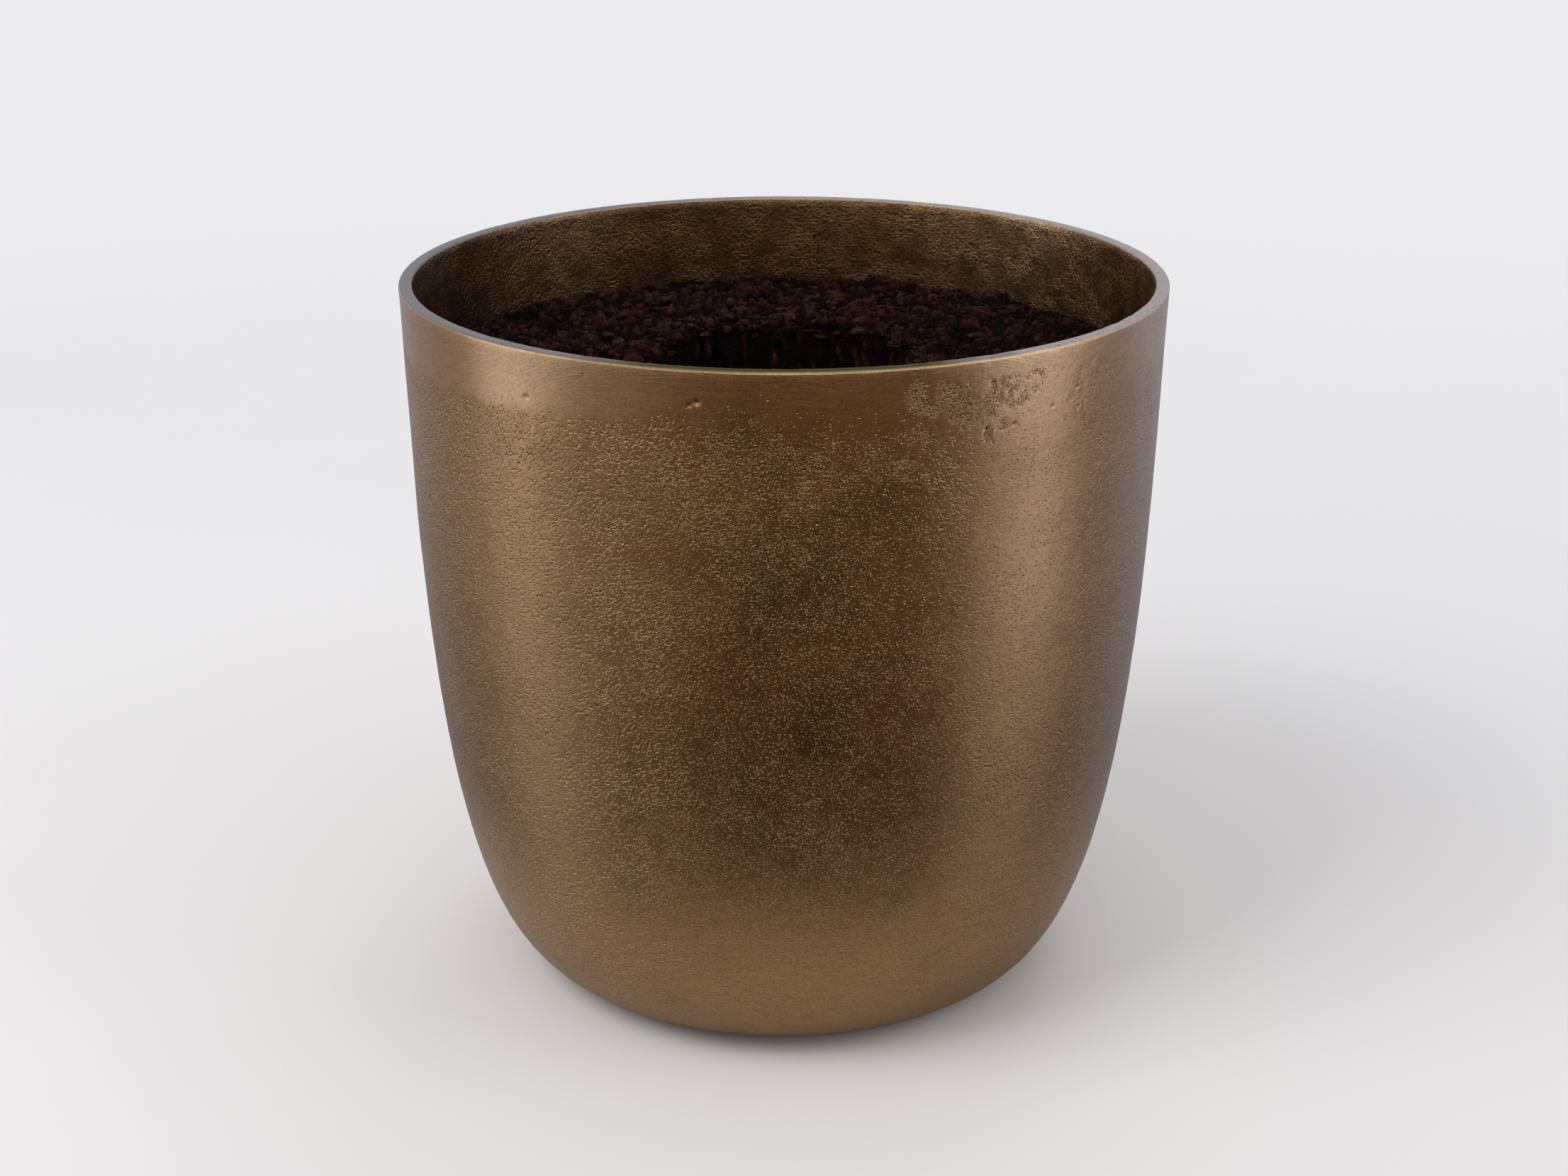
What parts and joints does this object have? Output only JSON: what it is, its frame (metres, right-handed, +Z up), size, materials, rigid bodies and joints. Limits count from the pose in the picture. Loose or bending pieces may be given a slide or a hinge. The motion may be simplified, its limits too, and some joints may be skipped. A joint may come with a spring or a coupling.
{
  "type": "planter pot",
  "caption": "Cast brass planter pot with a ground rim and rounded foot, holding a lift-out liner of potting soil with a planting pocket.",
  "frame": {"origin": "centre of the circle the pot stands on, at the height of the surface it stands on", "axes": "+Z up along the pot's axis, towards the rim; +X and +Y lie between the floor pads"},
  "size_m": [0.2599, 0.26, 0.25],
  "materials": {
    "cast_brass": "satin",
    "felt": "matte",
    "plug_rubber": "matte",
    "liner_plastic": "matte",
    "soil": "matte"
  },
  "bodies": {
    "pot": {"pot_shell": "cast_brass", "floor_pads": "felt"},
    "liner": {"liner": "liner_plastic", "potting_soil": "soil"},
    "drain_plug": {"drain_plug": "plug_rubber"}
  },
  "joints": [
    {"name": "liner_lift", "type": "slide", "parent": "pot", "child": "liner", "axis": [0, 0, 1], "range_m": [0, 0.26]},
    {"name": "drain_plug_pull", "type": "slide", "parent": "pot", "child": "drain_plug", "axis": [0, 0, -1], "range_m": [0, 0.03]}
  ]
}
